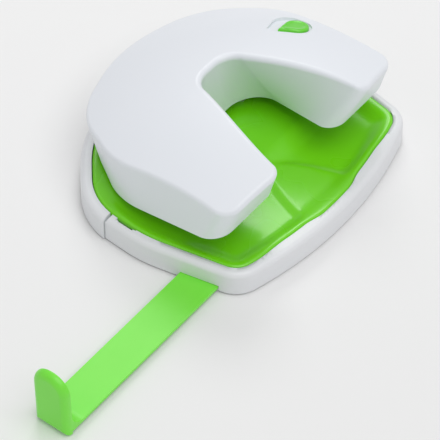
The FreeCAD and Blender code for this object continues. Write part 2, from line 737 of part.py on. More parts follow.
# Half outlines (right side, from the end of the notch round to the back).
# Each corner is x, y and the radius that rounds it.
def cover_corners(level_name):
    if level_name == "edge":
        half = [(s.notch_wide, s.notch_back, s.notch_round),
                (s.arm_inner, -s.arm_front, s.inner_round),
                (arm_outer, -s.arm_front, s.outer_round),
                (arm_outer - s.hip_tuck, s.cover_hip_back, s.hip_round),
                (s.cover_rear_wide, s.cover_rear_back, s.rear_corner_round),
                (length(0), s.cover_back, s.tail_round)]
    else:
        half = [(s.top_notch_wide, s.top_notch_back, s.top_notch_round),
                (crest_outer - s.arm_crest_wide, -s.top_arm_front, s.inner_round),
                (crest_outer, -s.top_outer_front, s.outer_round),
                (arm_outer - s.hip_lean, s.top_hip_back, s.hip_round),
                (s.top_rear_wide, s.top_rear_back, s.rear_corner_round),
                (length(0), s.top_back, s.tail_round)]
    right = [(x.value, y.value, r.value) for x, y, r in half]
    return right + [(-x, y, r) for x, y, r in right[-2::-1]]


# A closed wire through the corners, each rounded, all moved in by the inset.
def rounded_wire(corners, inset, level):
    count = len(corners)
    points = [FreeCAD.Vector(x, y, 0) for x, y, r in corners]
    ways = [(points[(i + 1) % count] - points[i]).normalize() for i in range(count)]
    sides = [FreeCAD.Vector(-way.y, way.x, 0) for way in ways]
    moved, bends = [], []
    for i, (x, y, r) in enumerate(corners):
        before, after = sides[i - 1], sides[i]
        moved.append(points[i] + (before + after) * (inset / (1 + before.dot(after))))
        bends.append(r - inset if ways[i - 1].cross(ways[i]).z > 0 else r + inset)
    edges, spots = [], []
    for i in range(count):
        back, ahead = -ways[i - 1], ways[i]
        half_turn = ways[i - 1].getAngle(ways[i]) / 2
        run = bends[i] * math.tan(half_turn)
        middle_way = (back + ahead).normalize()
        out = bends[i] * (1 / math.cos(half_turn) - 1)
        spots.append((moved[i] + back * run, moved[i] + middle_way * out,
                      moved[i] + ahead * run))
    for i in range(count):
        start, centre, end = spots[i]
        edges.append(Part.Arc(start, centre, end).toShape())
        edges.append(Part.LineSegment(end, spots[(i + 1) % count][0]).toShape())
    wire = Part.Wire(edges)
    wire.translate(FreeCAD.Vector(0, 0, level))
    return wire


# The ball whose top is the crown, lowered by the drop.
def crown_ball(drop):
    radius = s.dome_round.value
    centre = FreeCAD.Vector(0, s.dome_back.value, s.dome_high.value - radius)
    return Part.makeSphere(radius - drop, centre, FreeCAD.Vector(1, 0, 0))


def cover_solid(inset, drop):
    low, high = s.cover_low.value, s.crest_high.value
    solid = Part.makeLoft([rounded_wire(cover_corners("edge"), inset, low),
                           rounded_wire(cover_corners("crest"), inset, high)], True, True)
    return solid.common(crown_ball(drop))


# The lock sits on a slope of the crown; its own axes lie along that slope.
lock_lean = math.degrees(math.asin(lock_side.value / s.dome_round.value))


def crown_level(x, y):
    radius, back = s.dome_round.value, y - s.dome_back.value
    return s.dome_high.value - radius + math.sqrt(radius ** 2 - x ** 2 - back ** 2)


def lean_over(shape):
    x, y = lock_side.value, s.lock_back.value
    shape.rotate(FreeCAD.Vector(0, 0, 0), FreeCAD.Vector(0, 1, 0), lock_lean)
    shape.translate(FreeCAD.Vector(x, y, crown_level(x, y)))
    return shape


# A drop: a round end with two straight sides that meet in a tip.
def drop_prism(margin, slide, low, high):
    radius = s.button_round.value + margin
    tip = FreeCAD.Vector(-s.button_tip.value - 1.5 * margin, s.button_tip_back.value, 0)
    reach = tip.Length
    turn = math.acos(radius / reach)
    toward = math.atan2(tip.y, tip.x)
    touch = [FreeCAD.Vector(radius * math.cos(toward + a), radius * math.sin(toward + a), 0)
             for a in (turn, -turn)]
    far_side = FreeCAD.Vector(-radius * math.cos(toward), -radius * math.sin(toward), 0)
    edges = [Part.Arc(touch[0], far_side, touch[1]).toShape(),
             Part.LineSegment(touch[1], tip).toShape(), Part.LineSegment(tip, touch[0]).toShape()]
    prism = Part.Face(Part.Wire(edges)).extrude(FreeCAD.Vector(0, 0, high - low))
    prism.translate(FreeCAD.Vector(0, 0, low))
    if slide:
        moved = prism.copy()
        moved.translate(FreeCAD.Vector(0, slide, 0))
        band = Part.Face(Part.makePolygon([
            FreeCAD.Vector(radius, 0, low), FreeCAD.Vector(radius, slide, low),
            FreeCAD.Vector(tip.x, tip.y + slide, low), FreeCAD.Vector(tip.x, tip.y, low),
            FreeCAD.Vector(radius, 0, low)])).extrude(FreeCAD.Vector(0, 0, high - low))
        prism = prism.fuse([moved, band])
    return prism


def stem_box(gap, slide):
    half = s.stem_wide.value / 2 + gap
    return Part.makeBox(2 * half, 2 * half + slide, 12, FreeCAD.Vector(-half, -half, -8))


def cover_shape():
    wall = s.cover_wall.value
    outer = cover_solid(0, 0)
    crest = [edge for edge in outer.Edges
             if edge.BoundBox.ZMin > s.cover_low.value + 10
             and edge.BoundBox.ZMax - edge.BoundBox.ZMin < 12]
    outer = outer.makeFillet(s.crest_round.value, crest)
    room = cover_solid(wall, wall)
    shell = outer.cut(room)
    posts = [Part.makeCylinder(s.post_wide.value / 2, 30, FreeCAD.Vector(
        sign * x.value, y.value, s.lever_high.value + s.plate_thick.value))
        for sign in (-1, 1) for x, y in lever_screw_spots]
    shell = shell.fuse([post.common(outer) for post in posts])
    slope = math.tan(math.radians(s.rear_lift_angle.value))
    start, run = s.rear_lift_start.value, 40.0
    low = s.cover_low.value
    wedge = Part.Face(Part.makePolygon([
        FreeCAD.Vector(-90, start, low - 5), FreeCAD.Vector(-90, start, low),
        FreeCAD.Vector(-90, start + run, low + run * slope),
        FreeCAD.Vector(-90, start + run, low - 5), FreeCAD.Vector(-90, start, low - 5)]))
    shell = shell.cut(wedge.extrude(FreeCAD.Vector(180, 0, 0)))
    recess = lean_over(drop_prism(s.recess_margin.value, s.lock_travel.value,
                                  -s.recess_deep.value, 10))
    slot = lean_over(stem_box(0.3, s.lock_travel.value))
    shell = shell.cut([recess, slot])
    bores = [Part.makeCylinder(
        s.screw_thick.value / 2 + s.screw_fit.value, s.lever_screw_long.value,
        FreeCAD.Vector(sign * x.value, y.value, s.lever_high.value))
        for sign in (-1, 1) for x, y in lever_screw_spots]
    return shell.cut(bores)


def make_cover_shell():
    item = doc.addObject("Part::Feature", "cover_shell")
    item.Shape = cover_shape()
    return open_up(item)


# A pan-head screw whose head is below, its shank pointing up.
def screw(name, x, y, head_low, long):
    head = cylinder(f"{name}_head", s.screw_head_wide, s.screw_head_high, x, y, head_low)
    shank = cylinder(f"{name}_shank", s.screw_thick, long, x, y,
                     head_low + s.screw_head_high)
    return joined(name, [head, shank])


def make_lever_screws():
    head_low = s.lever_high - s.screw_head_high
    parts = [screw(f"lever_screw_{end}_{mark}", sign * x, y, head_low,
                   s.lever_screw_long - 0.5)
             for end, sign in (("left", -1), ("right", 1))
             for mark, (x, y) in zip(("front", "back"), lever_screw_spots)]
    return open_up(grouped("lever_screws", parts))


# ---------------------------------------------------------------- lock

def make_lock_button():
    lift = 0.15
    cap = lean_over(drop_prism(0, 0, lift - s.recess_deep.value, 10))
    top = s.button_high.value - s.recess_deep.value
    cap = cap.common(crown_ball(-top))
    stem = lean_over(stem_box(0, 0).common(Part.makeBox(
        20, 20, s.stem_deep.value - s.recess_deep.value + 1,
        FreeCAD.Vector(-10, -10, -s.stem_deep.value))))
    item = doc.addObject("Part::Feature", "lock_button")
    item.Shape = cap.fuse(stem)
    return open_up(item)


catch_low = guide_plate_top + s.catch_high
hook_x = lock_side - s.stem_wide / 2 - 0.5
catch_post_front = s.pin_back - s.catch_back - s.hook_thick + 0.3
catch_front = catch_post_front - s.hook_reach
hook_back = catch_front - 0.3 - s.lock_travel


def make_lock_slider():
    deep, thick = s.stem_deep.value, s.hook_thick.value
    x, front = hook_x.value, hook_back.value - thick
    wide = s.hook_wide.value
    plate = lean_over(Part.makeBox(
        wide + 1, s.stem_wide.value / 2 + s.lock_back.value - front, thick,
        FreeCAD.Vector(x - lock_side.value - 0.5, front - s.lock_back.value, -deep - thick)))
    toe_top = catch_low.value - s.catch_gap.value
    leg_top = crown_level(lock_side.value, s.lock_back.value) - deep - 0.6
    leg = Part.makeBox(wide, thick, leg_top - toe_top + thick,
                       FreeCAD.Vector(x, front, toe_top - thick))
    toe = Part.makeBox(wide, thick + s.hook_reach.value - 0.2, thick,
                       FreeCAD.Vector(x, front, toe_top - thick))
    item = doc.addObject("Part::Feature", "lock_slider")
    item.Shape = plate.fuse([leg, toe])
    return open_up(item)


def make_lock_catch():
    low_x, high_x = hook_x - 0.3, hook_x + s.hook_wide + 0.3
    back = s.pin_back - s.catch_back
    top = catch_low + s.catch_thick
    return joined("lock_catch", [
        box("catch_foot", low_x - 2, high_x, catch_post_front, back, guide_plate_top,
            guide_plate_top + 0.5),
        box("catch_post", low_x, high_x, catch_post_front, back, guide_plate_top, top),
        box("catch_arm", low_x, high_x, catch_front, back, catch_low, top)])


# --------------------------------------------- paper guide, tray, feet

guide_root = -s.sheet_long / 2
mid_y = s.guide_back


def make_paper_guide():
    body = new_body("paper_guide")
    half = s.guide_wide / 2
    add_rectangle(body, "guide_strip", guide_root - s.tab_thick / 2, guide_root + s.guide_long,
                  mid_y - half, mid_y + half, s.guide_low, s.guide_thick)
    round_edges(body, "guide_strip_end", s.guide_end_round, lambda edge: abs(
        middle(edge).x - (guide_root + s.guide_long).value) < 0.01
        and abs(edge.Vertexes[0].Point.z - edge.Vertexes[-1].Point.z) > 1)
    tab = side_sketch(body, "tab_sketch", guide_root - s.tab_thick)
    draw_polygon(tab, rectangle(mid_y - half, mid_y + half, s.tab_low, s.tab_high))
    add_feature(body, "Pad", "tab", tab, s.tab_thick)

    def top_corner(edge):
        spot = middle(edge)
        return (abs(spot.z - s.tab_high.value) < 0.01
                and abs(abs(spot.y - mid_y.value) - half.value) < 0.01)
    round_edges(body, "tab_arch", half - 0.2, top_corner)

    def root_edge(edge):
        spot = middle(edge)
        return (abs(spot.x - guide_root.value) < 0.01
                and abs(spot.z - (s.guide_low + s.guide_thick).value) < 0.01)
    round_edges(body, "tab_root", s.tab_fillet, root_edge)
    round_edges(body, "tab_outer_edge", s.tab_soft, lambda edge: abs(
        middle(edge).x - (guide_root - s.tab_thick).value) < 0.01)
    return body


def tray_outline(sketch, inset):
    half = [(s.tray_wide - inset, -s.tray_front + inset),
            (s.tray_wide - inset, s.tray_hip_back - inset / 2),
            (s.tray_rear_wide - inset / 2, s.tray_back - inset)]
    draw_polygon(sketch, half + [(-x, y) for x, y in half[::-1]])


def make_chip_tray():
    body = new_body("chip_tray")
    pad(body, "tray_blank", s.tray_low, s.tray_high, lambda sketch: tray_outline(sketch, length(0)))
    round_edges(body, "tray_front_corners", s.tray_corner, upright_at(s.tray_wide, -s.tray_front))
    pocket(body, "tray_room", s.tray_low + s.tray_wall, s.tray_high,
           lambda sketch: tray_outline(sketch, s.tray_wall))
    lug = s.lug_thick
    ear_reach = s.tray_pin / 2 + s.tray_pin_wall
    pad(body, "tray_ears", s.tray_low, s.tray_pin_high + ear_reach - s.tray_low,
        both_sides(lambda sketch, x: draw_polygon(sketch, rectangle(
            x - lug / 2, x + lug / 2, s.tray_back - s.tray_wall / 2,
            s.tray_pin_back + ear_reach)), s.tray_pin_wide - lug / 2))
    for name, start in (("left", -s.tray_pin_wide - s.tray_gap - lug),
                        ("right", s.tray_pin_wide - 1)):
        pin = side_sketch(body, f"tray_pin_{name}_sketch", start)
        draw_circle(pin, s.tray_pin_back, s.tray_pin_high, s.tray_pin)
        add_feature(body, "Pad", f"tray_pin_{name}", pin, 1 + s.tray_gap + lug)
    return body


def make_feet():
    spots = [("front", s.foot_side, -s.foot_front), ("rear", s.rear_foot_side, s.rear_foot_back)]
    return grouped("rubber_feet", [
        cylinder(f"foot_{name}_{end}", s.foot_wide, s.foot_high, sign * x, y, length(0))
        for name, x, y in spots for end, sign in (("left", -1), ("right", 1))])


def make_base_screws():
    spots = [("front", s.skirt_screw_side, -s.skirt_screw_front),
             ("rear", s.rear_screw_side, s.rear_screw_back)]
    return grouped("base_screws", [
        screw(f"base_screw_{name}_{end}", sign * x, y, skirt_head_low,
              skirt_screw_top - skirt_head_top - 0.3)
        for name, x, y in spots for end, sign in (("left", -1), ("right", 1))])


def make_frame_screws():
    parts = []
    for end, sign in (("left", -1), ("right", 1)):
        for mark, out in (("inner", -s.frame_screw_out), ("outer", s.frame_screw_out)):
            name = f"frame_screw_{end}_{mark}"
            x = sign * (hinge_side + out)
            parts.append(joined(name, [
                cylinder(f"{name}_head", s.screw_head_wide, s.screw_head_high, x,
                         s.frame_screw_back, die_top),
                cylinder(f"{name}_shank", s.screw_thick, die_top - deck_low - 0.3, x,
                         s.frame_screw_back, deck_low + 0.3)]))
    return grouped("frame_screws", parts)


def make_everything():
    nodes = [make_base_skirt(), make_rear_skirt(), make_deck(), make_axle(),
             make_axle_clips(), make_base_screws(), make_frame_screws(), make_feet(),
             make_lock_catch(), make_chip_tray(), make_paper_guide(),
             make_cover_shell(), make_lever_plate(), make_lever_screws(),
             make_lock_button(), make_lock_slider()]
    for end, side in (("left", -1), ("right", 1)):
        nodes += [make_punch_frame(f"punch_frame_{end}", side),
                  make_pin(f"punch_pin_{end}", side),
                  make_pin_clip(f"pin_clip_{end}", side),
                  make_spring(f"return_spring_{end}", side)]
    return nodes


nodes = make_everything()
doc.recompute()
for item in doc.Objects:
    if "Invalid" in item.State or "Error" in item.State:
        raise RuntimeError(f"{item.Name} failed")
for node in nodes:
    if node.Shape.isNull() or not node.Shape.isValid():
        raise RuntimeError(f"{node.Label} has no sound shape")
os.makedirs("parts", exist_ok=True)
for node in nodes:
    node.Shape.exportStep(f"parts/{node.Label}.step")
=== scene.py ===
import math
import bmesh
import bpy
from mathutils import Matrix, Vector
from mathutils.geometry import convex_hull_2d


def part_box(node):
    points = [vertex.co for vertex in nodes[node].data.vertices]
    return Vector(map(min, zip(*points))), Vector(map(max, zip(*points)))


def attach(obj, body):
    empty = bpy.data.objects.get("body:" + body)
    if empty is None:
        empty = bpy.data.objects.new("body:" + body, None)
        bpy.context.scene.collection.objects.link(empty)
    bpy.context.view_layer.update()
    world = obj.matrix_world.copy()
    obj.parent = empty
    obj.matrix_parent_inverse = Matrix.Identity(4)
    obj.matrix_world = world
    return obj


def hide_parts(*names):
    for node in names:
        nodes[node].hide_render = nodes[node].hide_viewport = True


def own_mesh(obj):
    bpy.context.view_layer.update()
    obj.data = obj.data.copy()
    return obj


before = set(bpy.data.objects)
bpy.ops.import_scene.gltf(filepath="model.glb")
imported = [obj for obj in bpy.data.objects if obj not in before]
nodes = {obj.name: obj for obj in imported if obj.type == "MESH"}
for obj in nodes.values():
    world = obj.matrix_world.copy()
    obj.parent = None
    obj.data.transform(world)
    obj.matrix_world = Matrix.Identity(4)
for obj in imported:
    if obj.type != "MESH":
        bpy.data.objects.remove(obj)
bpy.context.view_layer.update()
mm = 0.001  # the pieces' and finishes' dictionaries give millimetres and degrees
mergeGap = 0.001 * mm  # points of a mesh that are nearer than this are one point
print("frame loaded:", len(nodes), "nodes")


# colours are written as on a screen, and shaded in linear light
def toLinear(code):
    shares = [int(code[i:i + 2], 16) / 255 for i in (1, 3, 5)]
    return [c / 12.92 if c <= 0.04045 else ((c + 0.055) / 1.055) ** 2.4 for c in shares] + [1.0]


def newMaterial(name):
    material = bpy.data.materials.new(name)
    material.use_nodes = True
    material.node_tree.nodes.clear()
    return material


# settings are the node's own properties, values its socket values, links what feeds its sockets
def addNode(material, kind, settings=None, values=None, links=None):
    node = material.node_tree.nodes.new(kind)
    for name, value in (settings or {}).items():
        setattr(node, name, value)
    for socket, value in (values or {}).items():
        node.inputs[socket].default_value = value
    for socket, output in (links or {}).items():
        material.node_tree.links.new(output, node.inputs[socket])
    return node


noiseLow, noiseHigh = 0.3, 0.7  # most of a noise pattern lies between these


# ABS and the tray's opaque polypropylene are injection moulded in a spark-eroded tool: a satin
# skin with a fine even grain, drawn here as coarse as it needs to show, and a gloss that drifts
# a little over a large piece
def mouldedPlastic(name, look):
    material = newMaterial(name)
    place = addNode(material, "ShaderNodeTexCoord").outputs["Object"]
    grain = addNode(material, "ShaderNodeTexNoise",
                    values={"Scale": 1 / (look["grainSize"] * mm), "Detail": look["grainDetail"],
                            "Roughness": look["grainRoughness"]},
                    links={"Vector": place})
    drift = addNode(material, "ShaderNodeTexNoise",
                    values={"Scale": 1 / (look["driftSize"] * mm), "Detail": look["driftDetail"]},
                    links={"Vector": place})
    colour = addNode(material, "ShaderNodeMix", settings={"data_type": "RGBA"},
                     values={"A": toLinear(look["colour"]), "B": toLinear(look["colourDrift"])},
                     links={"Factor": drift.outputs["Fac"]})
    gloss = addNode(material, "ShaderNodeMapRange",
                    values={"From Min": noiseLow, "From Max": noiseHigh,
                            "To Min": look["roughness"] - look["glossDrift"],
                            "To Max": look["roughness"] + look["glossDrift"]},
                    links={"Value": drift.outputs["Fac"]})
    bump = addNode(material, "ShaderNodeBump",
                   values={"Strength": look["grainStrength"], "Distance": look["grainHeight"] * mm},
                   links={"Height": grain.outputs["Fac"]})
    shader = addNode(material, "ShaderNodeBsdfPrincipled",
                     values={"IOR": look["ior"], "Coat Weight": look["coat"],
                             "Coat Roughness": look["coatRoughness"]},
                     links={"Base Color": colour.outputs["Result"],
                            "Roughness": gloss.outputs["Result"], "Normal": bump.outputs["Normal"]})
    addNode(material, "ShaderNodeOutputMaterial", links={"Surface": shader.outputs["BSDF"]})
    return material


plasticLook = {"ior": 1.53, "coatRoughness": 0.12, "glossDrift": 0.04, "grainDetail": 3.0,
               "grainRoughness": 0.6, "driftDetail": 2.0}
coverLook = {**plasticLook, "colour": "#e9ecf2", "colourDrift": "#e6eaf0", "roughness": 0.42,
             "coat": 0.15, "grainSize": 0.8, "grainHeight": 0.02, "grainStrength": 0.25,
             "driftSize": 40.0}
baseLook = {**plasticLook, "colour": "#e6e7ea", "colourDrift": "#e2e4e7", "roughness": 0.4,
            "coat": 0.1, "grainSize": 0.8, "grainHeight": 0.02, "grainStrength": 0.25,
            "driftSize": 40.0}
deckLook = {**plasticLook, "colour": "#72d80e", "colourDrift": "#78dc14", "roughness": 0.28,
            "coat": 0.25, "grainSize": 2.0, "grainHeight": 0.01, "grainStrength": 0.15,
            "driftSize": 25.0}
buttonLook = {**plasticLook, "colour": "#62d427", "colourDrift": "#6ad830", "roughness": 0.3,
              "coat": 0.4, "grainSize": 1.0, "grainHeight": 0.01, "grainStrength": 0.15,
              "driftSize": 8.0}
trayLook = {**plasticLook, "colour": "#7f8488", "colourDrift": "#898e92", "roughness": 0.5,
            "coat": 0.0, "grainSize": 1.0, "grainHeight": 0.02, "grainStrength": 0.3,
            "driftSize": 20.0}
coverAbs = mouldedPlastic("white ABS cover", coverLook)
baseAbs = mouldedPlastic("white ABS base", baseLook)
deckAbs = mouldedPlastic("green ABS deck", deckLook)
buttonAbs = mouldedPlastic("green ABS button", buttonLook)
trayPlastic = mouldedPlastic("grey polypropylene tray", trayLook)


# the guide's polypropylene is softer and slightly see-through: light spreads inside it, and its
# surface waves a little where the moulding cooled
def polypropylene(name, look):
    material = newMaterial(name)
    place = addNode(material, "ShaderNodeTexCoord").outputs["Object"]
    cloud = addNode(material, "ShaderNodeTexNoise",
                    values={"Scale": 1 / (look["cloudSize"] * mm), "Detail": look["cloudDetail"]},
                    links={"Vector": place})
    colour = addNode(material, "ShaderNodeMix", settings={"data_type": "RGBA"},
                     values={"A": toLinear(look["colour"]), "B": toLinear(look["colourDrift"])},
                     links={"Factor": cloud.outputs["Fac"]})
    bump = addNode(material, "ShaderNodeBump",
                   values={"Strength": look["waveStrength"], "Distance": look["waveHeight"] * mm},
                   links={"Height": cloud.outputs["Fac"]})
    shader = addNode(material, "ShaderNodeBsdfPrincipled",
                     values={"IOR": look["ior"], "Roughness": look["roughness"],
                             "Subsurface Weight": look["spreadShare"],
                             "Subsurface Scale": look["spread"] * mm,
                             "Subsurface Radius": look["spreadColours"]},
                     links={"Base Color": colour.outputs["Result"],
                            "Normal": bump.outputs["Normal"]})
    addNode(material, "ShaderNodeOutputMaterial", links={"Surface": shader.outputs["BSDF"]})
    return material


guideLook = {"colour": "#80ea48", "colourDrift": "#78e43e", "roughness": 0.34, "ior": 1.49,
             "cloudSize": 14.0, "cloudDetail": 3.0, "waveHeight": 0.3, "waveStrength": 0.1,
             "spreadShare": 0.25, "spread": 1.2, "spreadColours": (0.6, 1.0, 0.3)}
guidePlastic = polypropylene("green polypropylene guide", guideLook)


# bright steels keep a metal's plain reflection: zinc plate is mottled, and ground pins and drawn
# wire carry fine lines along them
def plainSteel(name, look):
    material = newMaterial(name)
    place = addNode(material, "ShaderNodeTexCoord").outputs["Object"]
    stretch = addNode(material, "ShaderNodeMapping", values={"Scale": look["stretch"]},
                      links={"Vector": place})
    lines = addNode(material, "ShaderNodeTexNoise",
                    values={"Scale": 1 / (look["lineSize"] * mm), "Detail": look["lineDetail"]},
                    links={"Vector": stretch.outputs["Vector"]})
    colour = addNode(material, "ShaderNodeMix", settings={"data_type": "RGBA"},
                     values={"A": toLinear(look["colour"]), "B": toLinear(look["colourDrift"])},
                     links={"Factor": lines.outputs["Fac"]})
    gloss = addNode(material, "ShaderNodeMapRange",
                    values={"From Min": noiseLow, "From Max": noiseHigh,
                            "To Min": look["roughness"] - look["lineGloss"],
                            "To Max": look["roughness"] + look["lineDull"]},
                    links={"Value": lines.outputs["Fac"]})
    bump = addNode(material, "ShaderNodeBump",
                   values={"Strength": look["lineStrength"], "Distance": look["lineHeight"] * mm},
                   links={"Height": lines.outputs["Fac"]})
    shader = addNode(material, "ShaderNodeBsdfPrincipled", values={"Metallic": 1.0},
                     links={"Base Color": colour.outputs["Result"],
                            "Roughness": gloss.outputs["Result"], "Normal": bump.outputs["Normal"]})
    addNode(material, "ShaderNodeOutputMaterial", links={"Surface": shader.outputs["BSDF"]})
    return material


steelLook = {"lineGloss": 0.06, "lineDull": 0.08, "lineDetail": 4.0, "lineStrength": 0.2}
zincLook = {**steelLook, "colour": "#c3c6c9", "colourDrift": "#aeb3b8", "roughness": 0.36,
            "stretch": (1.0, 1.0, 1.0), "lineSize": 2.5, "lineHeight": 0.02}
groundLook = {**steelLook, "colour": "#d2d3d5", "colourDrift": "#bfc1c4", "roughness": 0.22,
              "stretch": (0.05, 0.05, 1.0), "lineSize": 0.4, "lineHeight": 0.01}
wireLook = {**steelLook, "colour": "#8e9196", "colourDrift": "#75787d", "roughness": 0.3,
            "stretch": (1.0, 1.0, 3.0), "lineSize": 0.6, "lineHeight": 0.01}
zincSteel = plainSteel("zinc plated steel", zincLook)
groundSteel = plainSteel("ground steel", groundLook)
wireSteel = plainSteel("drawn spring steel", wireLook)


# synthetic rubber is dull and dark, with a coarse moulded grain
def rubber(name, look):
    material = newMaterial(name)
    place = addNode(material, "ShaderNodeTexCoord").outputs["Object"]
    grain = addNode(material, "ShaderNodeTexNoise",
                    values={"Scale": 1 / (look["grainSize"] * mm), "Detail": look["grainDetail"]},
                    links={"Vector": place})
    colour = addNode(material, "ShaderNodeMix", settings={"data_type": "RGBA"},
                     values={"A": toLinear(look["colour"]), "B": toLinear(look["colourDrift"])},
                     links={"Factor": grain.outputs["Fac"]})
    bump = addNode(material, "ShaderNodeBump",
                   values={"Strength": look["grainStrength"], "Distance": look["grainHeight"] * mm},
                   links={"Height": grain.outputs["Fac"]})
    shader = addNode(material, "ShaderNodeBsdfPrincipled",
                     values={"Roughness": look["roughness"], "IOR": look["ior"]},
                     links={"Base Color": colour.outputs["Result"],
                            "Normal": bump.outputs["Normal"]})
    addNode(material, "ShaderNodeOutputMaterial", links={"Surface": shader.outputs["BSDF"]})
    return material


rubberLook = {"colour": "#4a4b4d", "colourDrift": "#3e3f41", "roughness": 0.8, "ior": 1.5,
              "grainSize": 0.6, "grainHeight": 0.05, "grainDetail": 4.0, "grainStrength": 0.5}
footRubber = rubber("grey synthetic rubber", rubberLook)
print("materials made")


# finishes of the solids that stay as they are
finishes = {
    "cover_shell": coverAbs, "rear_skirt": baseAbs, "paper_guide": guidePlastic,
    "lock_slider": trayPlastic, "chip_tray": trayPlastic, "rubber_feet": footRubber,
    "punch_frame_left": zincSteel, "punch_frame_right": zincSteel, "lock_catch": zincSteel,
    "lever_plate": zincSteel, "lever_screws": zincSteel, "frame_screws": zincSteel,
    "base_screws": zincSteel, "hinge_axle": groundSteel, "punch_pin_left": groundSteel,
    "punch_pin_right": groundSteel, "axle_clips": wireSteel, "pin_clip_left": wireSteel,
    "pin_clip_right": wireSteel,
}
for name, finish in finishes.items():
    for holder in nodes[name].material_slots:
        holder.material = finish
print("finishes set")


# makes a finished form an object of the scene
def placed(name, form):
    mesh = bpy.data.meshes.new(name)
    form.to_mesh(mesh)
    form.free()
    item = bpy.data.objects.new(name, mesh)
    bpy.context.scene.collection.objects.link(item)
    return item


# edges that turn by more than smoothAngle stay sharp
def newPiece(name, form, material, body, smoothAngle):
    piece = placed(name, form)
    piece.data.materials.append(material)
    piece.data.shade_smooth()
    piece.data.set_sharp_from_angle(angle=math.radians(smoothAngle))
    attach(piece, body)
    return piece


# a node's mesh is loose triangles, so a copy of it is merged before it is shaped
def mergedForm(node):
    form = bmesh.new()
    form.from_mesh(nodes[node].data)
    bmesh.ops.remove_doubles(form, verts=form.verts, dist=mergeGap)
    return form


def smoothStep(share):
    share = min(max(share, 0.0), 1.0)
    return share * share * (3 - 2 * share)


# cuts a form's faces into squares, so that its surface can bend
def cutAcross(form, low, high, pitch):
    for axis in (0, 1):
        normal = Vector((0, 0, 0))
        normal[axis] = 1
        for step in range(1, int((high[axis] - low[axis]) / (pitch * mm))):
            spot = Vector((0, 0, 0))
            spot[axis] = low[axis] + step * pitch * mm
            bmesh.ops.bisect_plane(form, geom=form.verts[:] + form.edges[:] + form.faces[:],
                                   dist=mergeGap, plane_co=spot, plane_no=normal)


# how far a spot is from an outline, seen from above: runs are the outline's straight pieces
def edgeDistance(spot, runs):
    best = math.inf
    for a, b in runs:
        run = b - a
        share = min(max((spot - a).dot(run) / run.length_squared, 0.0), 1.0)
        best = min(best, (a + run * share - spot).length)
    return best


# the deck is a flat dish in the frame: here it gets its soft slopes and its tongue
deckShape = {
    "cutPitch": 1.2, "edgeKept": 1.4, "slopeWide": 8.0, "dishDeep": 2.8,
    "platformWide": 50.0, "platformSlope": 10.0, "platformFront": -13.0,
    "tongueHigh": 0.45, "tongueTip": -18.0, "tongueLong": 30.0, "tongueWide": 18.6,
    "tongueRound": 0.45, "tongueSlope": 5.0,
    "footWithin": 0.01, "floorWithin": 0.05, "flatWithin": 0.5, "mergeWithin": 0.005,
    "smoothAngle": 50.0,
}


# beside the tongue the front edge draws in a little, and the white rim widens to meet it
edgeWave = {"start": 8.5, "startOver": 10.0, "end": 46.0, "endOver": 16.0, "deep": 1.4,
            "fade": 7.5, "front": -30.0}


def drawnIn(x, y):
    s = edgeWave
    start = smoothStep((abs(x) - s["start"]) / s["startOver"])
    end = smoothStep((s["end"] - abs(x)) / s["endOver"])
    return s["deep"] * start * end * (y < s["front"])


def deckOutline():
    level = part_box("deck")[0].z + deckShape["footWithin"] * mm
    foot = [v.co.xy for v in nodes["deck"].data.vertices if v.co.z < level]
    ring = [foot[i] for i in convex_hull_2d(foot)]
    runs = zip(ring, ring[1:] + ring[:1])
    return [(a, b) for a, b in runs if (b - a).length > mergeGap]


# rim, platform and tongue run into one another softly, so no crease shows in the gloss
def deckRise(x, y, away):
    s = deckShape
    rim = 1 - smoothStep((away - s["edgeKept"]) / s["slopeWide"])
    side = smoothStep((s["platformWide"] - abs(x)) / s["platformSlope"] + 1)
    platform = side * smoothStep((y - s["platformFront"]) / s["platformSlope"] + 1)
    along = max((s["tongueTip"] - y) / s["tongueLong"], 0.0)
    half = s["tongueWide"] * along ** s["tongueRound"]
    tongue = smoothStep((half - abs(x)) / s["tongueSlope"]) * s["tongueHigh"]
    return 1 - (1 - rim) * (1 - platform) * (1 - tongue)


def makeDeck():
    s = deckShape
    low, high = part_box("deck")
    runs = deckOutline()
    form = mergedForm("deck")
    bmesh.ops.dissolve_limit(form, angle_limit=math.radians(s["flatWithin"]), verts=form.verts,
                             edges=form.edges)
    cutAcross(form, low, high, s["cutPitch"])
    floor = high.z - s["dishDeep"] * mm
    for vert in form.verts:
        x, y = vert.co.x / mm, vert.co.y / mm
        away = edgeDistance(vert.co.xy, runs) / mm
        if vert.co.z > floor - s["floorWithin"] * mm and away > s["edgeKept"]:
            vert.co.z = floor + s["dishDeep"] * mm * deckRise(x, y, away)
        vert.co.y += drawnIn(x, y) * smoothStep(1 - away / edgeWave["fade"]) * mm
    bmesh.ops.remove_doubles(form, verts=form.verts, dist=s["mergeWithin"] * mm)
    piece = newPiece("deckMoulding", form, deckAbs, "base", s["smoothAngle"])
    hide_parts("deck")


makeDeck()
print("deck shaped")


# a softly rounded thumb button with a dished top, in place of the frame's plain block
buttonShape = {"up": (0.31, 0.18, 0.93), "crownDeep": 2.5, "crownFacing": 0.8, "lowered": 0.9,
               "edgeRound": 0.9, "edgeSteps": 4, "cutPitch": 0.7, "edgeKept": 1.1,
               "dishSlope": 1.3, "dishDeep": 0.4, "smoothAngle": 50.0}


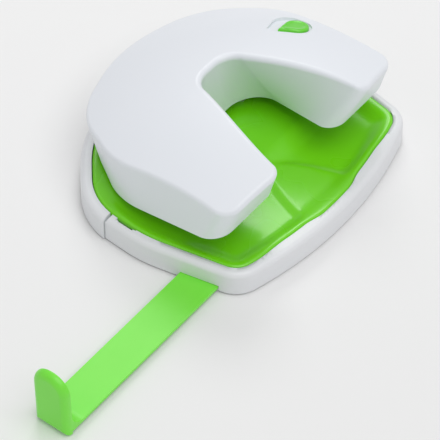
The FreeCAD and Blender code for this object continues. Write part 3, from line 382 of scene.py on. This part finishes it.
def makeButton():
    s = buttonShape
    up = Vector(s["up"]).normalized()
    low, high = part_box("lock_button")
    form = mergedForm("lock_button")
    peak = max(v.co.dot(up) for v in form.verts) - s["crownDeep"] * mm
    crown = {f for f in form.faces if f.normal.dot(up) > s["crownFacing"]
             and f.calc_center_median().dot(up) > peak}
    brink = [e for e in form.edges if sum(f in crown for f in e.link_faces) == 1]
    runs = [(e.verts[0].co.xy.copy(), e.verts[1].co.xy.copy()) for e in brink]
    crownPoints = [v for v in form.verts if not crown.isdisjoint(v.link_faces)]
    bmesh.ops.translate(form, verts=crownPoints, vec=up * -s["lowered"] * mm)
    bmesh.ops.bevel(form, geom=brink, offset=s["edgeRound"] * mm, segments=s["edgeSteps"],
                    profile=0.5, affect="EDGES", material=-1)
    cutAcross(form, low, high, s["cutPitch"])
    for vert in form.verts:
        if vert.co.dot(up) > peak - s["lowered"] * mm:
            inside = edgeDistance(vert.co.xy, runs) / mm - s["edgeKept"]
            vert.co -= up * s["dishDeep"] * smoothStep(inside / s["dishSlope"]) * mm
    piece = newPiece("lockCap", form, buttonAbs, "lock", s["smoothAngle"])
    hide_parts("lock_button")


makeButton()
print("button shaped")


# the front rim is let in for a fingertip on the left, and nicked where it meets the rear one
rimShape = {"wavePitch": 2.0, "waveGap": 1.0, "waveBand": 2.3,
            "letIn": 1.9, "letInSteps": ((-61.95, 1.3, 11.3), (-62.6, 2.6, 9.9)),
            "letInInside": -59.0, "letInOver": 1.0,
            "nickAt": 15.3, "nickWide": 1.3, "nickDeep": 2.6, "nickFrom": 60.0, "nickTo": 66.5,
            "smoothAngle": 30.0}


# takes the cutters out of a piece, and leaves a plain mesh
def carve(piece, cutters):
    for cutter in cutters:
        tool = piece.modifiers.new(cutter.name, "BOOLEAN")
        tool.operation = "DIFFERENCE"
        tool.solver = "EXACT"
        tool.object = cutter
    bpy.context.view_layer.update()
    shaped = piece.evaluated_get(bpy.context.evaluated_depsgraph_get())
    plain = piece.data
    piece.data = bpy.data.meshes.new_from_object(shaped)
    piece.modifiers.clear()
    bpy.data.meshes.remove(plain)
    for cutter in cutters:
        mesh = cutter.data
        bpy.data.objects.remove(cutter)
        bpy.data.meshes.remove(mesh)


def makeBlock(low, high):
    form = bmesh.new()
    size = [b - a for a, b in zip(low, high)]
    middle = [(a + b) / 2 * mm for a, b in zip(low, high)]
    bmesh.ops.create_cube(form, size=mm)
    bmesh.ops.scale(form, vec=size, verts=form.verts)
    bmesh.ops.translate(form, vec=middle, verts=form.verts)
    return form


# a square bar on its edge, whose lower half cuts a V across the rim
def makeWedge(side, top):
    s = rimShape
    form = bmesh.new()
    halfDiagonal = math.sqrt(0.5)
    bmesh.ops.create_cube(form, size=mm)
    bmesh.ops.rotate(form, matrix=Matrix.Rotation(math.radians(45), 3, "X"), verts=form.verts)
    bmesh.ops.scale(form, verts=form.verts, vec=(
        s["nickTo"] - s["nickFrom"], s["nickWide"] / halfDiagonal, s["nickDeep"] / halfDiagonal))
    bmesh.ops.translate(form, verts=form.verts, vec=(
        side * (s["nickTo"] + s["nickFrom"]) / 2 * mm, s["nickAt"] * mm, top * mm))
    return form


# the band of the rim next to the deck is cut into strips, and its inner edge follows the deck's
def drawRimIn(form, low, high):
    s = rimShape
    runs = deckOutline()
    band = {v for v in form.verts if edgeDistance(v.co.xy, runs) < s["waveBand"] * mm}
    faces = {f for f in form.faces if band.issuperset(f.verts)}
    cut = [f for f in form.faces if f in faces]
    cut += [e for e in form.edges if not faces.isdisjoint(e.link_faces)]
    cut += [v for v in form.verts if not faces.isdisjoint(v.link_faces)]
    for step in range(1, int(2 * edgeWave["end"] / s["wavePitch"])):
        across = step * s["wavePitch"] - edgeWave["end"]
        cut = bmesh.ops.bisect_plane(form, geom=cut, dist=mergeGap, plane_no=(1, 0, 0),
                                     plane_co=(across * mm, 0, 0))["geom"]
    for vert in form.verts:
        if edgeDistance(vert.co.xy, runs) < s["waveGap"] * mm:
            share = (vert.co.z - low.z) / (high.z - low.z)
            vert.co.y += share * drawnIn(vert.co.x / mm, vert.co.y / mm) * mm


def makeRim():
    s = rimShape
    low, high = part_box("base_skirt")
    top = high.z / mm
    form = mergedForm("base_skirt")
    drawRimIn(form, low, high)
    piece = newPiece("frontRim", form, baseAbs, "base", s["smoothAngle"])
    blocks = [makeBlock((outer, front, top - s["letIn"]),
                        (s["letInInside"], back, top + s["letInOver"]))
              for outer, front, back in s["letInSteps"]]
    wedges = [makeWedge(side, top) for side in (-1, 1)]
    carve(piece, [placed(f"cutter{i}", tool) for i, tool in enumerate(blocks + wedges)])
    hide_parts("base_skirt")


makeRim()
print("rim carved")


# the return springs are the frame's coils, merged and smoothed, and ride on the base; in the real
# punch they shorten as the cover goes down and its pins with it
springShape = {"pinTravel": 5.96, "smoothAngle": 35.0}


def makeSpring(side):
    node = f"return_spring_{side}"
    coil = newPiece(f"spring{side.title()}", mergedForm(node), wireSteel, "base",
                    springShape["smoothAngle"])
    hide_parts(node)
    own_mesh(coil)


for side in ("left", "right"):
    makeSpring(side)
print("springs wound")


# a plain pale floor, a wide soft light from above, and a panel behind that glints in the deck;
# sizes and places are in metres here
studio = {"floorWide": 6.0, "backdrop": "#eeeeee", "floorRoughness": 0.9, "floorGloss": 0.1,
          "worldLevel": 0.5, "sunLevel": 1.2, "sunSpread": 50.0, "sunFrom": (-0.1, -0.4, 0.9),
          "glintLevel": 4.2, "glintSize": 0.6, "glintPlace": (0.75, 0.58, 1.04)}


def makeFloor():
    form = bmesh.new()
    bmesh.ops.create_grid(form, x_segments=1, y_segments=1, size=studio["floorWide"] / 2)
    floor = placed("floor", form)
    material = newMaterial("matt paper floor")
    shader = addNode(material, "ShaderNodeBsdfPrincipled",
                     values={"Base Color": toLinear(studio["backdrop"]),
                             "Roughness": studio["floorRoughness"],
                             "Specular IOR Level": studio["floorGloss"]})
    addNode(material, "ShaderNodeOutputMaterial", links={"Surface": shader.outputs["BSDF"]})
    floor.data.materials.append(material)


def makeLamp(name, kind, level):
    light = bpy.data.lights.new(name, kind)
    light.energy = level
    lamp = bpy.data.objects.new(name, light)
    bpy.context.scene.collection.objects.link(lamp)
    return lamp


def makeLight():
    world = bpy.data.worlds.new("studio")
    bpy.context.scene.world = world
    world.use_nodes = True
    backing = world.node_tree.nodes["Background"]
    backing.inputs["Color"].default_value = (1, 1, 1, 1)
    backing.inputs["Strength"].default_value = studio["worldLevel"]
    sky = makeLamp("skyPanel", "SUN", studio["sunLevel"])
    sky.data.angle = math.radians(studio["sunSpread"])
    sky.rotation_euler = Vector(studio["sunFrom"]).to_track_quat("Z", "Y").to_euler()
    glint = makeLamp("glint", "AREA", studio["glintLevel"])
    glint.data.size = studio["glintSize"]
    glint.location = studio["glintPlace"]
    glint.rotation_euler = glint.location.to_track_quat("Z", "Y").to_euler()


# the camera looks down on the front left corner through a long lens; away, target and farthest
# are in metres, and focalPixels is the lens's length in pixels of a frame frameWide across
view = {"side": -52.5, "rise": 47.5, "away": 1.069, "target": (-0.0282, -0.0150, 0.0),
        "focalPixels": 2650.0, "frameWide": 440, "sensor": 36.0, "farthest": 20.0}


def makeCamera():
    camera = bpy.data.cameras.new("camera")
    camera.sensor_width = view["sensor"]
    camera.lens = view["focalPixels"] / view["frameWide"] * view["sensor"]
    camera.clip_end = view["farthest"]
    holder = bpy.data.objects.new("camera", camera)
    side, rise = math.radians(view["side"]), math.radians(view["rise"])
    back = Vector((math.sin(side) * math.cos(rise), -math.cos(side) * math.cos(rise),
                   math.sin(rise)))
    holder.location = Vector(view["target"]) + back * view["away"]
    holder.rotation_euler = (-back).to_track_quat("-Z", "Y").to_euler()
    bpy.context.scene.collection.objects.link(holder)
    bpy.context.scene.camera = holder


makeFloor()
makeLight()
makeCamera()
bpy.context.scene.view_settings.view_transform = "Standard"
print("studio set")
